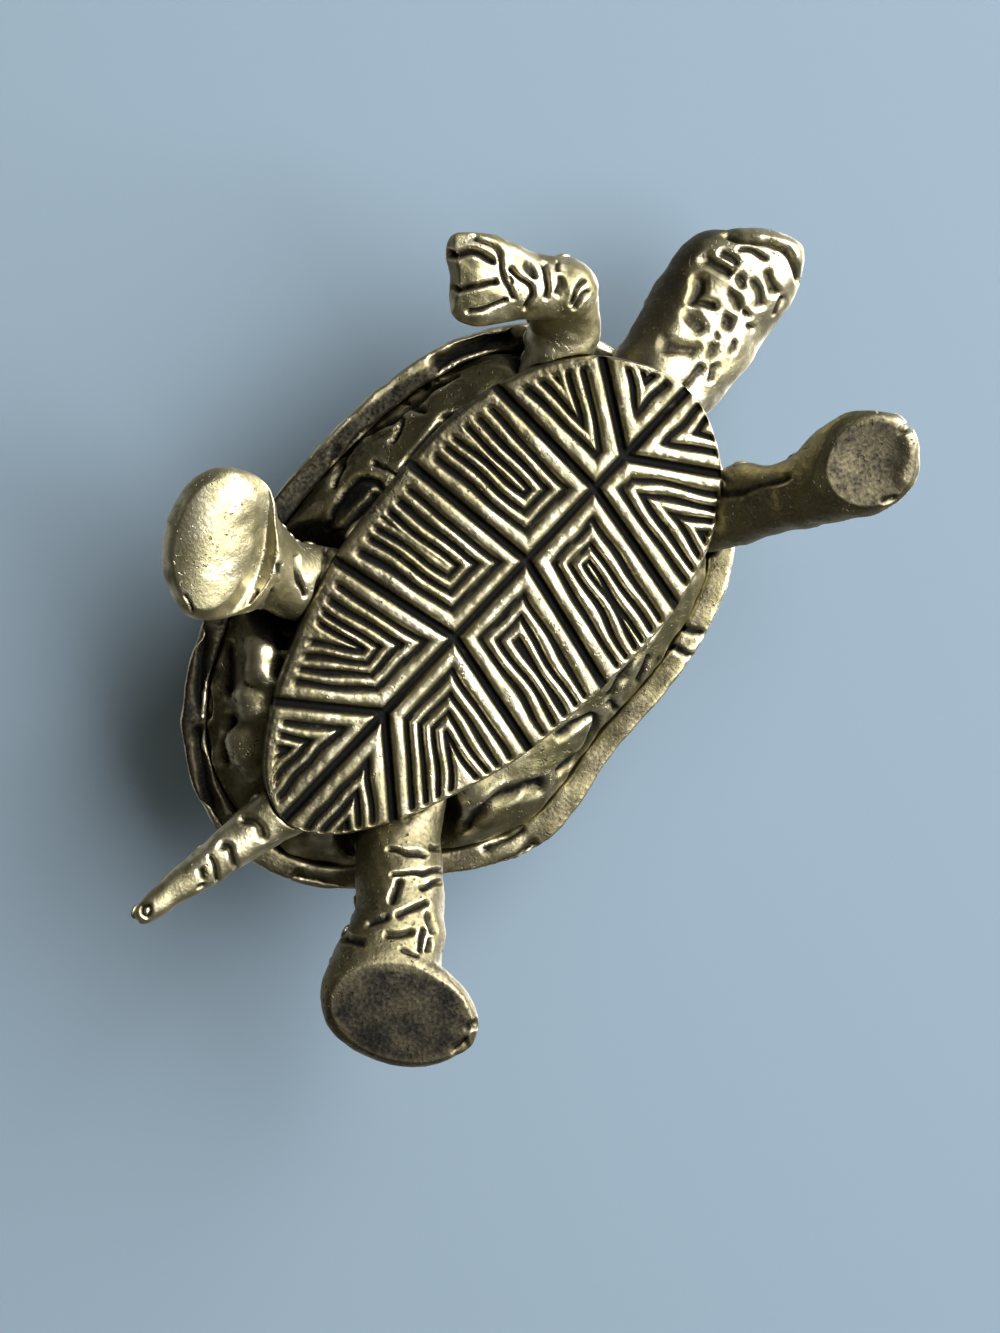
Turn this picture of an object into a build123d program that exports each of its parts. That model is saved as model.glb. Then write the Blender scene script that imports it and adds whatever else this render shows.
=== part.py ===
import os
from math import copysign, cos, hypot, pi, radians, sin

from build123d import *

# Cast brass turtle standing on three soles with its front right paw lifted.
# Millimetres, +Z up, head towards -Y, the turtle's left side towards +X.

# Heights above the floor
belly_height = 5.0
rim_height = 10.0
shell_rise = 9.2
neck_height = 9.0
head_height = 10.9
tail_height = 7.0
tail_tip_height = 4.8
elbow_height = 5.4
paw_height = 3.2

# Back shell
shell_width = 26.4
shell_setback = 0.6
shell_overhang = 3.6
shell_middle = 0.5
shell_wall = 1.0
front_squareness = 2.6
rear_squareness = 2.14
dome_fullness = 0.85
rim_flare = 0.5
rim_lip = 0.8

# Belly plate
plate_length = 35.4
plate_width = 18.2
plate_thickness = 1.8
plate_crown = 0.8
plate_overhang = 0.6
seam_width = 0.75
rib_width = 0.56
groove_width = 0.36
groove_depth = 0.45
groove_count = 3

# Fits and pockets
braze_gap = 0.08
leg_pocket = 3.9
neck_pocket = 3.9
tail_pocket = 2.6

# Neck and head
neck_width = 6.8
neck_depth = 4.6
head_width = 7.9
head_depth = 5.8
head_turn = 1.2
head_beyond = 11.0
neck_socket_depth = 3.2
eye_size = 1.5

# Tail
tail_root_width = 3.5
tail_tip_width = 1.5
tail_beyond = 10.2
tail_swing = 2.5
tail_socket_depth = 4.2

# Legs
thigh_width = 4.6
hind_left_shin = 5.1
hind_right_shin = 3.4
front_left_shin = 4.7
forearm_width = 4.0
hind_left_foot_length = 9.8
hind_left_foot_width = 6.3
hind_right_foot_length = 9.2
hind_right_foot_width = 5.6
front_left_foot_length = 6.6
front_left_foot_width = 6.2
foot_height = 2.6
paw_width = 5.6
paw_thickness = 2.8
toe_notch = 0.8
leg_socket_depth = 5.2

# Places of the hips as shares of the belly plate's half width and length
hind_left_hip_share = (0.67, 0.884)
hind_right_hip_share = (-0.978, 0.692)
front_left_hip_share = (0.758, 0.11)
front_right_hip_share = (-0.835, 0.065)

# Steps from hip to foot, hip to elbow and elbow to paw, and where the toes point in degrees from +X
hind_left_step = (6.1, 7.5)
hind_left_heading = -26
hind_right_step = (-6.1, 1.5)
hind_right_heading = 58
front_left_step = (3.2, -7.9)
front_left_heading = -80
front_right_step = (-1.9, -1.4)
paw_step = (-5.1, 3.7)

# Seams of the belly plate: place on the midline, then the two outer ends, as shares of the plate.
# Lengths run from the front tip, widths from the midline, the turtle's right side first.
seams = [
    (0.157, (-0.55, 0.061), (0.48, 0.076)),
    (0.23, (-0.91, 0.22), (0.86, 0.272)),
    (0.398, (-0.97, 0.414), (1.04, 0.466)),
    (0.576, (-0.87, 0.617), (0.92, 0.63)),
    (0.75, (-0.51, 0.85), (0.54, 0.874)),
]
plate_outline = [
    (0.0, 0.0),
    (0.3, 0.018),
    (0.62, 0.075),
    (0.86, 0.17),
    (1.0, 0.31),
    (0.985, 0.49),
    (0.91, 0.64),
    (0.76, 0.76),
    (0.56, 0.875),
    (0.3, 0.965),
    (0.0, 1.0),
]

# Derived sizes
plate_top = belly_height + plate_thickness
plate_front = 0.4 - plate_length / 2
plate_rear = plate_front + plate_length
shell_front = shell_middle - plate_front - shell_setback
shell_rear = plate_rear + shell_overhang - shell_middle
head_reach = head_beyond - plate_front
tail_reach = tail_beyond + plate_rear
crown_radius = (plate_width * plate_width / 4 + plate_crown * plate_crown) / (2 * plate_crown)
hip_height = plate_top + 0.7
socket_height = plate_top + 1.4


def oval_section(height, half_width, front, rear, middle):
    # A level section with a squared-off oval outline, fuller in front than behind
    points = []
    for i in range(20):
        c = cos(2 * pi * i / 20)
        s = sin(2 * pi * i / 20)
        reach = rear if s > 0 else front
        squareness = rear_squareness if s > 0 else front_squareness
        x = half_width * copysign(abs(c) ** (2 / squareness), c)
        y = reach * copysign(abs(s) ** (2 / squareness), s)
        points.append((x, y + middle))
    with BuildSketch(Plane.XY.offset(height)) as section:
        with BuildLine():
            Spline(*points, periodic=True)
        make_face()
    return section.sketch


def dome_form(inset):
    # The domed back, this much smaller all round, from the rim up to the crown
    sections = []
    for angle in (0, 16, 32, 47, 61, 73, 83):
        share = cos(radians(angle)) ** dome_fullness
        height = rim_height + sin(radians(angle)) * (shell_rise - inset)
        half_width = share * (shell_width / 2 - rim_flare - inset)
        front = share * (shell_front - rim_flare - inset)
        rear = share * (shell_rear - rim_flare - inset)
        sections.append(oval_section(height, half_width, front, rear, shell_middle))
    with BuildPart() as form:
        loft(sections)
    return form.part


def body_form(grow):
    # Inside of the dome, then in to the width of the belly plate
    inset = shell_wall - grow
    belly_width = plate_width / 2 - plate_overhang + grow
    belly_front = shell_middle - plate_front - plate_overhang + grow
    belly_rear = plate_rear - shell_middle - plate_overhang + grow
    rim_width = shell_width / 2 - rim_flare - inset
    rim_front = shell_front - rim_flare - inset
    rim_rear = shell_rear - rim_flare - inset
    waist_width = (belly_width + rim_width) / 2 + 0.6
    waist_front = (belly_front + rim_front) / 2
    waist_rear = (belly_rear + rim_rear) / 2
    belly = oval_section(plate_top + braze_gap, belly_width, belly_front, belly_rear, shell_middle)
    waist = oval_section((plate_top + rim_height) / 2, waist_width, waist_front, waist_rear, shell_middle)
    rim = oval_section(rim_height, rim_width, rim_front, rim_rear, shell_middle)
    with BuildPart() as form:
        loft([belly, waist, rim])
        add(dome_form(inset))
    return form.part


def even_stations(stations, count):
    # The same limb with its stations spaced evenly along it
    runs = []
    for start, end in zip(stations, stations[1:]):
        runs.append((Vector(end[:3]) - Vector(start[:3])).length)
    spaced = []
    for i in range(count):
        along = sum(runs) * i / (count - 1)
        k = 0
        while k < len(runs) - 1 and along > runs[k]:
            along -= runs[k]
            k += 1
        share = min(along / runs[k], 1)
        spaced.append([a + share * (b - a) for a, b in zip(stations[k], stations[k + 1])])
    return spaced


def limb_form(stations, grow=0, count=12):
    # A round limb through stations of x, y, z, width and depth, widened all round by grow
    spaced = even_stations(stations, count)
    with BuildPart() as form:
        for i, (x, y, z, width, depth) in enumerate(spaced):
            before = Vector(spaced[max(i - 1, 0)][:3])
            after = Vector(spaced[min(i + 1, count - 1)][:3])
            along = after - before
            across = along.cross(Vector(0, 0, 1))
            with BuildSketch(Plane(origin=(x, y, z), x_dir=across, z_dir=along)):
                Ellipse(width / 2 + grow, depth / 2 + grow)
        loft()
    return form.part


def foot_form(place, heading, length, width):
    # A padded foot with a flat sole on the floor and notches between four toes
    with BuildPart() as form:
        for level, share in [(0.0, 0.84), (0.28, 0.98), (0.6, 0.94), (1.0, 0.56)]:
            with BuildSketch(Plane.XY.offset(level * foot_height)):
                Ellipse(share * length / 2, share * width / 2)
        loft()
        for side in (-1, 0, 1):
            turn = radians(side * 34)
            with Locations((cos(turn) * length / 2, sin(turn) * width / 2)):
                Cylinder(toe_notch / 2, 3 * foot_height, mode=Mode.SUBTRACT)
    return form.part.rotate(Axis.Z, heading).translate((place[0], place[1], 0))


def socket_end(hip):
    # The inner end of a limb, straight in from the hip towards the middle of the body
    share = 1 - leg_socket_depth / hypot(hip[0], hip[1])
    return (hip[0] * share, hip[1] * share)


def leg_stations(hip, foot, shin):
    # From the socket end over the hip, down the shin and into the foot
    stations = [(*socket_end(hip), socket_height, 0.72 * thigh_width, 0.68 * thigh_width)]
    stations.append((*hip, hip_height, thigh_width, 0.9 * thigh_width))
    for share, drop, wide, deep in [(0.3, 0.3, 0.97, 0.88), (0.6, 0.62, 1.0, 0.8), (1.0, 0.97, 0.8, 0.36)]:
        x = hip[0] + share * (foot[0] - hip[0])
        y = hip[1] + share * (foot[1] - hip[1])
        z = hip_height + drop * (0.38 * foot_height - hip_height)
        stations.append((x, y, z, wide * shin, deep * shin))
    return stations


def plate_point(share_width, share_length, grow=0):
    x = share_width * (plate_width / 2 + grow)
    return (x, plate_front - grow + share_length * (plate_length + 2 * grow))


def plate_form(grow):
    # The blank of the belly plate: flat on top, crowned below
    right = [plate_point(x, y, grow) for x, y in plate_outline]
    left = [(-x, y) for x, y in reversed(right[1:-1])]
    with BuildPart() as form:
        with BuildSketch(Plane.XY.offset(belly_height - grow)):
            with BuildLine():
                Spline(*right, *left, periodic=True)
            make_face()
        extrude(amount=plate_thickness + 2 * grow)
        with Locations((0, 0, belly_height + crown_radius)):
            Cylinder(crown_radius + grow, 2 * plate_length, rotation=(90, 0, 0), mode=Mode.INTERSECT)
    return form.part


def shifted_line(start, end, inset):
    # A line moved sideways by inset, to the left of its own direction
    run = hypot(end[0] - start[0], end[1] - start[1])
    side = (-(end[1] - start[1]) / run * inset, (end[0] - start[0]) / run * inset)
    return (start[0] + side[0], start[1] + side[1]), (end[0] + side[0], end[1] + side[1])


def crossing(first, second):
    # Where two lines, each given by two points, cross
    (ax, ay), (bx, by) = first
    (cx, cy), (dx, dy) = second
    bottom = (bx - ax) * (dy - cy) - (by - ay) * (dx - cx)
    share = ((cx - ax) * (dy - cy) - (cy - ay) * (dx - cx)) / bottom
    return (ax + share * (bx - ax), ay + share * (by - ay)), share


def rib_line(scute, side, inset):
    # The open line inside a scute, this far from its seams and from the midline
    outer_front, inner_front, inner_rear, outer_rear = scute
    middle = shifted_line(inner_front, inner_rear, -side * inset)
    if outer_front is None:
        rear = shifted_line(inner_rear, outer_rear, -side * inset)
        return [middle[0], crossing(middle, rear)[0], rear[1]]
    front = shifted_line(outer_front, inner_front, -side * inset)
    front_corner, front_share = crossing(middle, front)
    if outer_rear is None:
        return [front[0], front_corner, middle[1]]
    rear = shifted_line(inner_rear, outer_rear, -side * inset)
    rear_corner, rear_share = crossing(middle, rear)
    if front_share < rear_share:
        return [front[0], front_corner, rear_corner, rear[1]]
    corner, share = crossing(front, rear)
    if 0.05 < share < 0.95:
        return [front[0], corner, rear[1]]
    return None


def stretched(start, end, extra):
    # The end point of a line carried on by extra
    run = hypot(end[0] - start[0], end[1] - start[1])
    return (end[0] + (end[0] - start[0]) / run * extra, end[1] + (end[1] - start[1]) / run * extra)


def strip(start, end, width):
    # A straight band of this width along a line
    left = shifted_line(start, end, width / 2)
    right = shifted_line(start, end, -width / 2)
    return Polygon(left[0], left[1], right[1], right[0], align=None, mode=Mode.PRIVATE)


def scutes_of(side):
    # The six scutes of one side as outer front, inner front, inner rear and outer rear points
    middle_points = [plate_point(0, -0.02)]
    outer_points = [None]
    for share, right_end, left_end in seams:
        start = plate_point(0, share)
        middle_points.append(start)
        outer_points.append(stretched(start, plate_point(*(left_end if side > 0 else right_end)), 1))
    middle_points.append(plate_point(0, 1.02))
    outer_points.append(None)
    scutes = []
    for i in range(len(middle_points) - 1):
        scutes.append((outer_points[i], middle_points[i], middle_points[i + 1], outer_points[i + 1]))
    return scutes


# Stations of the neck and tail
neck_lean = -0.55 * head_turn
neck_root = plate_front + neck_socket_depth + 1.6
muzzle_share = 0.95
muzzle_width = 0.76 * head_width
muzzle_depth = 0.72 * head_depth
neck_stations = [
    (neck_lean, neck_root, neck_height, 0.82 * neck_width, 0.86 * neck_depth),
    (neck_lean, -0.56 * head_reach, neck_height, 0.95 * neck_width, neck_depth),
    (-0.75 * head_turn, -0.68 * head_reach, neck_height + 0.6, neck_width, neck_depth),
    (-0.92 * head_turn, -0.775 * head_reach, head_height - 0.2, 0.95 * head_width, 0.94 * head_depth),
    (-head_turn, -0.86 * head_reach, head_height, head_width, head_depth),
    (-head_turn, -muzzle_share * head_reach, head_height - 0.4, muzzle_width, muzzle_depth),
]
tail_base = plate_rear - 0.8
tail_drop = tail_height - tail_tip_height
tail_run = tail_reach - tail_base
tail_taper = tail_root_width - tail_tip_width
tail_stations = [(0, tail_base - tail_socket_depth, tail_height + 0.6, 0.8 * tail_root_width, 0.8 * tail_root_width)]
for share, taper in [(0.0, 0.0), (0.4, 0.42), (0.75, 0.8), (0.94, 1.0), (1.0, 1.4)]:
    width = tail_root_width - taper * tail_taper
    x = -tail_swing * share ** 0.9
    tail_stations.append((x, tail_base + share * tail_run, tail_height - share * tail_drop, width, 0.92 * width))

# Places and stations of the legs
hind_left_hip = plate_point(*hind_left_hip_share)
hind_right_hip = plate_point(*hind_right_hip_share)
front_left_hip = plate_point(*front_left_hip_share)
front_right_hip = plate_point(*front_right_hip_share)
hind_left_foot = (hind_left_hip[0] + hind_left_step[0], hind_left_hip[1] + hind_left_step[1])
hind_right_foot = (hind_right_hip[0] + hind_right_step[0], hind_right_hip[1] + hind_right_step[1])
front_left_foot = (front_left_hip[0] + front_left_step[0], front_left_hip[1] + front_left_step[1])
front_right_elbow = (front_right_hip[0] + front_right_step[0], front_right_hip[1] + front_right_step[1])
front_right_paw = (front_right_elbow[0] + paw_step[0], front_right_elbow[1] + paw_step[1])
hind_left_stations = leg_stations(hind_left_hip, hind_left_foot, hind_left_shin)
hind_right_stations = leg_stations(hind_right_hip, hind_right_foot, hind_right_shin)
front_left_stations = leg_stations(front_left_hip, front_left_foot, front_left_shin)
upper_arm_stations = [
    (*socket_end(front_right_hip), socket_height, 0.72 * thigh_width, 0.68 * thigh_width),
    (*front_right_hip, hip_height, 0.95 * thigh_width, 0.86 * thigh_width),
    (*front_right_elbow, elbow_height, forearm_width, 0.9 * forearm_width),
]
forearm_stations = []
for share, wide, deep in [(-0.14, 0.5, 0.5), (0.02, 0.95, 0.98), (0.4, 0.98, 0.95)]:
    x = front_right_elbow[0] + share * (front_right_paw[0] - front_right_elbow[0])
    y = front_right_elbow[1] + share * (front_right_paw[1] - front_right_elbow[1])
    z = elbow_height + share * (paw_height - elbow_height)
    forearm_stations.append((x, y, z, wide * forearm_width, deep * 0.9 * forearm_width))
for share, wide, deep in [(0.72, 0.96, 1.0), (0.95, 1.0, 0.85), (1.1, 0.78, 0.45)]:
    x = front_right_elbow[0] + share * (front_right_paw[0] - front_right_elbow[0])
    y = front_right_elbow[1] + share * (front_right_paw[1] - front_right_elbow[1])
    z = elbow_height + share * (paw_height - elbow_height)
    forearm_stations.append((x, y, z, wide * paw_width, deep * paw_thickness))
socketed = [neck_stations, tail_stations, hind_left_stations, hind_right_stations, front_left_stations]
socketed.append(upper_arm_stations)

# Belly plate with its scutes: wide seams and nested ribs that follow them
with BuildPart() as plastron:
    add(plate_form(0))
    with BuildPart(mode=Mode.PRIVATE) as grooves:
        with BuildSketch(Plane.XY.offset(belly_height - 1)):
            lines = [strip(plate_point(0, -0.05), plate_point(0, 1.05), seam_width)]
            for share, right_end, left_end in seams:
                start = plate_point(0, share)
                for end in (right_end, left_end):
                    lines.append(strip(start, stretched(start, plate_point(*end), 2), seam_width))
            for side in (-1, 1):
                for scute in scutes_of(side):
                    for i in range(groove_count):
                        inset = seam_width / 2 + rib_width + i * (rib_width + groove_width)
                        near = rib_line(scute, side, inset)
                        far = rib_line(scute, side, inset + groove_width)
                        if near and far:
                            lines.append(Polygon(*near, *reversed(far), align=None, mode=Mode.PRIVATE))
            add(lines)
        extrude(amount=plate_thickness)
        with Locations((0, 0, belly_height + crown_radius)):
            Cylinder(crown_radius - groove_depth, 2 * plate_length, rotation=(90, 0, 0), mode=Mode.SUBTRACT)
    add(grooves.part, mode=Mode.SUBTRACT)
plastron.part.label = "plastron"

# Inner casting with pockets round the limbs and a socket for each root
with BuildPart() as body:
    add(body_form(0))
    for hip in (hind_left_hip, hind_right_hip, front_left_hip, front_right_hip):
        with Locations((*hip, hip_height)):
            Sphere(leg_pocket, mode=Mode.SUBTRACT)
    with Locations((neck_lean, plate_front - 0.6, neck_height)):
        Sphere(neck_pocket, mode=Mode.SUBTRACT)
    with Locations((0, tail_base + 1.2, tail_height)):
        Sphere(tail_pocket, mode=Mode.SUBTRACT)
    for stations in socketed:
        add(limb_form(stations, braze_gap), mode=Mode.SUBTRACT)
body.part.label = "body"

# Back shell, open over the neck and clear of the legs
with BuildPart() as carapace:
    add(dome_form(0))
    extrude(oval_section(rim_height, shell_width / 2, shell_front, shell_rear, shell_middle), rim_lip)
    add(dome_form(shell_wall - braze_gap), mode=Mode.SUBTRACT)
    for stations in socketed:
        add(limb_form(stations, braze_gap), mode=Mode.SUBTRACT)
carapace.part.label = "carapace"

# Head and neck in one casting, with an eye on each side
with BuildPart() as head_and_neck:
    add(limb_form(neck_stations))
    snout_size = (0.48 * muzzle_width, (1 - muzzle_share) * head_reach, 0.48 * muzzle_depth)
    snout = scale(Sphere(1, mode=Mode.PRIVATE), by=snout_size, mode=Mode.PRIVATE)
    add(snout.translate((-head_turn, -muzzle_share * head_reach, head_height - 0.4)))
    for side in (-1, 1):
        eye = (-head_turn + side * 0.36 * head_width, -0.89 * head_reach, head_height + 0.2 * head_depth)
        with Locations(eye):
            Sphere(eye_size / 2)
    add(plate_form(braze_gap), mode=Mode.SUBTRACT)
head_and_neck.part.label = "head_and_neck"

with BuildPart() as tail:
    add(limb_form(tail_stations))
    add(plate_form(braze_gap), mode=Mode.SUBTRACT)
tail.part.label = "tail"

# Legs, each cut flat at the floor and clear of the belly plate
with BuildPart() as hind_left_leg:
    add(limb_form(hind_left_stations))
    add(foot_form(hind_left_foot, hind_left_heading, hind_left_foot_length, hind_left_foot_width))
    add(plate_form(braze_gap), mode=Mode.SUBTRACT)
    split(bisect_by=Plane.XY, keep=Keep.TOP)
hind_left_leg.part.label = "hind_left_leg"

with BuildPart() as hind_right_leg:
    add(limb_form(hind_right_stations))
    add(foot_form(hind_right_foot, hind_right_heading, hind_right_foot_length, hind_right_foot_width))
    add(plate_form(braze_gap), mode=Mode.SUBTRACT)
    split(bisect_by=Plane.XY, keep=Keep.TOP)
hind_right_leg.part.label = "hind_right_leg"

with BuildPart() as front_left_leg:
    add(limb_form(front_left_stations))
    add(foot_form(front_left_foot, front_left_heading, front_left_foot_length, front_left_foot_width))
    add(plate_form(braze_gap), mode=Mode.SUBTRACT)
    split(bisect_by=Plane.XY, keep=Keep.TOP)
front_left_leg.part.label = "front_left_leg"

with BuildPart() as front_right_leg:
    add(limb_form(upper_arm_stations))
    with Locations((*front_right_elbow, elbow_height)):
        Sphere(0.5 * forearm_width)
    add(limb_form(forearm_stations))
    add(plate_form(braze_gap), mode=Mode.SUBTRACT)
front_right_leg.part.label = "front_right_leg"

# Everything moves so that the origin lies on the floor under the middle of the whole turtle
pieces = [carapace, body, plastron, head_and_neck, tail]
pieces += [front_left_leg, front_right_leg, hind_left_leg, hind_right_leg]
boxes = [piece.part.bounding_box() for piece in pieces]
middle_x = (min(box.min.X for box in boxes) + max(box.max.X for box in boxes)) / 2
middle_y = (min(box.min.Y for box in boxes) + max(box.max.Y for box in boxes)) / 2
os.makedirs("parts", exist_ok=True)
for piece in pieces:
    solid = piece.part.translate((-middle_x, -middle_y, 0))
    solid.label = piece.part.label
    export_step(solid, "parts/" + piece.part.label + ".step")
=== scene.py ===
import math

import bmesh
import bpy
import numpy as np
from mathutils import Matrix, Vector


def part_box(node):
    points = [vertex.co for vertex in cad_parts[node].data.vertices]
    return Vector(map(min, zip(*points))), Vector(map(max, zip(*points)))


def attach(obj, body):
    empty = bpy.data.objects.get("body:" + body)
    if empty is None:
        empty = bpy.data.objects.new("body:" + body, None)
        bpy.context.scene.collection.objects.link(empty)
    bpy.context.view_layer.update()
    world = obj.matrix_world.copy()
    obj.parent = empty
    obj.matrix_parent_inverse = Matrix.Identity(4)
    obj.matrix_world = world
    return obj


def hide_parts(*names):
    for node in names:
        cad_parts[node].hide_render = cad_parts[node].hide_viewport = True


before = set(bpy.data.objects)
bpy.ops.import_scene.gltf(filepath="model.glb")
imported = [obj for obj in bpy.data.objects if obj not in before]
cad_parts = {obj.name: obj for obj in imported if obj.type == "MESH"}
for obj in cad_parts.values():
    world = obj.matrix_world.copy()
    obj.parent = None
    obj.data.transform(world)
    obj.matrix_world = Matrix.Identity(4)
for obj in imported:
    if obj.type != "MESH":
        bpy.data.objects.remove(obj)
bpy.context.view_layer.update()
print("stage: frame loaded")

# camera of the photo, in millimetres and degrees: below the turtle, looking up at its belly
photoView = {
    "target": (3.977, 2.453, 5.0),
    "turn": -43.18,
    "tilt": 12.0,
    "distance": 200.0,
    "lens": 90.0,
    "sensor": 36.0,
    "pixels": (1000.0, 1333.0),
}
lean = Matrix.Rotation(math.radians(photoView["tilt"]), 3, "Y")
turn = math.radians(photoView["turn"])
photoRight = lean @ Vector((math.cos(turn), math.sin(turn), 0.0))
photoUp = lean @ Vector((math.sin(turn), -math.cos(turn), 0.0))
photoAhead = lean @ Vector((0.0, 0.0, 1.0))
photoPlace = Vector(photoView["target"]) - photoAhead * photoView["distance"]


def photoSpots(points):
    # where points of the turtle fall in the photo, in pixels
    away = points - np.array(photoPlace)
    depth = away @ np.array(photoAhead)
    scale = photoView["lens"] / photoView["sensor"] * photoView["pixels"][1]
    across = photoView["pixels"][0] / 2 + scale * (away @ np.array(photoRight)) / depth
    down = photoView["pixels"][1] / 2 - scale * (away @ np.array(photoUp)) / depth
    return np.stack([across, down], axis=1)


def smoothStep(low, high, values):
    share = np.clip((values - low) / (high - low), 0.0, 1.0)
    return share * share * (3.0 - 2.0 * share)


def polylineDistance(points, line):
    best = np.full(len(points), np.inf)
    for start, end in zip(line[:-1], line[1:]):
        run = end - start
        share = np.clip(((points - start) @ run) / (run @ run), 0.0, 1.0)
        gap = np.linalg.norm(points - start - share[:, None] * run, axis=1)
        best = np.minimum(best, gap)
    return best


def curved(line, steps=6):
    # a smooth line through the given places
    line = np.array(line, float)
    if len(line) < 3:
        return line
    ends = np.vstack([2 * line[0] - line[1], line, 2 * line[-1] - line[-2]])
    made = []
    for i in range(1, len(ends) - 2):
        a, b, c, d = ends[i - 1], ends[i], ends[i + 1], ends[i + 2]
        for t in np.linspace(0, 1, steps, endpoint=False):
            bend = (2 * a - 5 * b + 4 * c - d) * t ** 2
            twist = (3 * b - a - 3 * c + d) * t ** 3
            made.append(0.5 * (2 * b + (c - a) * t + bend + twist))
    made.append(line[-1])
    return np.array(made)


# how a foot runs into its leg, how its sole is shaped and where it gets painted shade, for every leg that stands
footLook = {
    "heelTop": 1.8,
    "regrow": 0.3,
    "crownTop": 2.2,
    "crownEdge": (1.3, 2.3),
    "cupEdge": (0.2, 0.95),
    "soleEdge": (0.74, 1.12),
    "soleFacing": (0.6, 0.9),
}


def addHeel(shape, sole):
    # one bulge from the heel of the sole to the leg, so that foot and leg run into each other
    way = Vector(sole["hip"]) - Vector(sole["middle"])
    way.normalize()
    heading = math.radians(sole["heading"])
    toes = Vector((math.cos(heading), math.sin(heading)))
    footFrom, footTo, legFrom, legTo = sole["heel"]
    chosen = []
    for vertex in list(shape.verts):
        away = vertex.co.xy - Vector(sole["middle"])
        along = away @ way
        onFoot = footFrom < along < footTo and vertex.co.z < footLook["heelTop"] and away @ toes < sole["heelEnd"]
        if onFoot or legFrom < along < legTo:
            chosen.append(shape.verts.new(vertex.co))
    hull = bmesh.ops.convex_hull(shape, input=chosen)
    spare = [item for item in hull["geom_interior"] if isinstance(item, bmesh.types.BMVert)]
    bmesh.ops.delete(shape, geom=spare, context="VERTS")


def fineMesh(node, voxel, sole=None):
    # an even, closed mesh of a CAD node, fine enough to carve
    shape = bmesh.new()
    shape.from_mesh(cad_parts[node].data)
    bmesh.ops.remove_doubles(shape, verts=shape.verts, dist=1e-6)
    bmesh.ops.scale(shape, vec=(1000, 1000, 1000), verts=shape.verts)  # millimetres until a piece is finished
    if sole:
        addHeel(shape, sole)
    bmesh.ops.recalc_face_normals(shape, faces=shape.faces)
    raw = bpy.data.meshes.new(node + "Raw")
    shape.to_mesh(raw)
    shape.free()
    holder = bpy.data.objects.new(node + "Raw", raw)
    bpy.context.scene.collection.objects.link(holder)
    remesh = holder.modifiers.new("remesh", "REMESH")
    remesh.mode = "VOXEL"
    remesh.voxel_size = voxel
    graph = bpy.context.evaluated_depsgraph_get()
    made = bpy.data.meshes.new_from_object(holder.evaluated_get(graph))
    bpy.data.objects.remove(holder)
    bpy.data.meshes.remove(raw)
    made.name = node
    return made


# marks read off the photo: dirt in a crease, shine on a lump, and how far a line strays in pixels
markLook = {"dirt": 0.85, "shine": 0.6, "stray": 1.2, "strayScale": 1.8, "straySeeds": (61, 62)}
softRounds = 4  # takes the steps out of a fresh mesh
limbHollows = (10, 0.09, 0.09)  # rounds of averaging, then the depth and height that count as full, for head and limbs


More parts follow.
